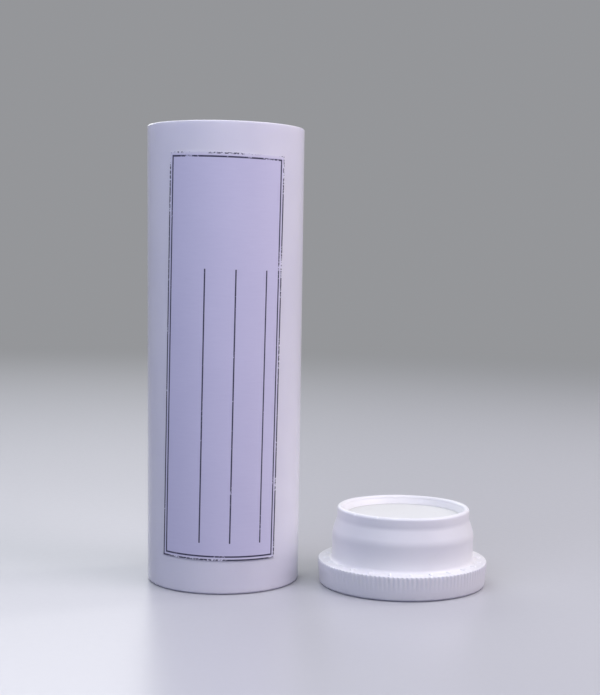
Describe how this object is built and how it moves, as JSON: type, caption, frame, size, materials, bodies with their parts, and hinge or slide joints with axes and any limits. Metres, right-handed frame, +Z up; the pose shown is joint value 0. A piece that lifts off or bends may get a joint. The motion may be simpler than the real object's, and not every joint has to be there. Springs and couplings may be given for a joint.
{
  "type": "pill tube",
  "caption": "Slim round tablet tube, open at the mouth, with a framed paper label, and its push-in desiccant stopper with a grooved flange lying plug up beside it.",
  "frame": {"origin": "on the tube's axis, in the surface that the tube and the stopper rest on", "axes": "+Z up along the tube's axis, -Y towards the label's side, +X roughly towards the stopper"},
  "size_m": [0.0603, 0.0318, 0.079],
  "materials": {
    "tube_plastic": "white polypropylene, soft gloss",
    "label_paper": "matte uncoated paper",
    "cap_plastic": "white polyethylene, satin",
    "card": "white card, matte",
    "silica_gel": "milky porous beads"
  },
  "bodies": {
    "tube": {"tube": "tube_plastic", "label": "label_paper"},
    "cap": {"cap_shell": "cap_plastic", "card_disc": "card", "desiccant_beads": "silica_gel"}
  },
  "joints": [
    {"name": "cap_lift", "type": "slide", "parent": "tube", "child": "cap", "axis": [0, 0, 1], "range_m": [0, 0.09]}
  ]
}
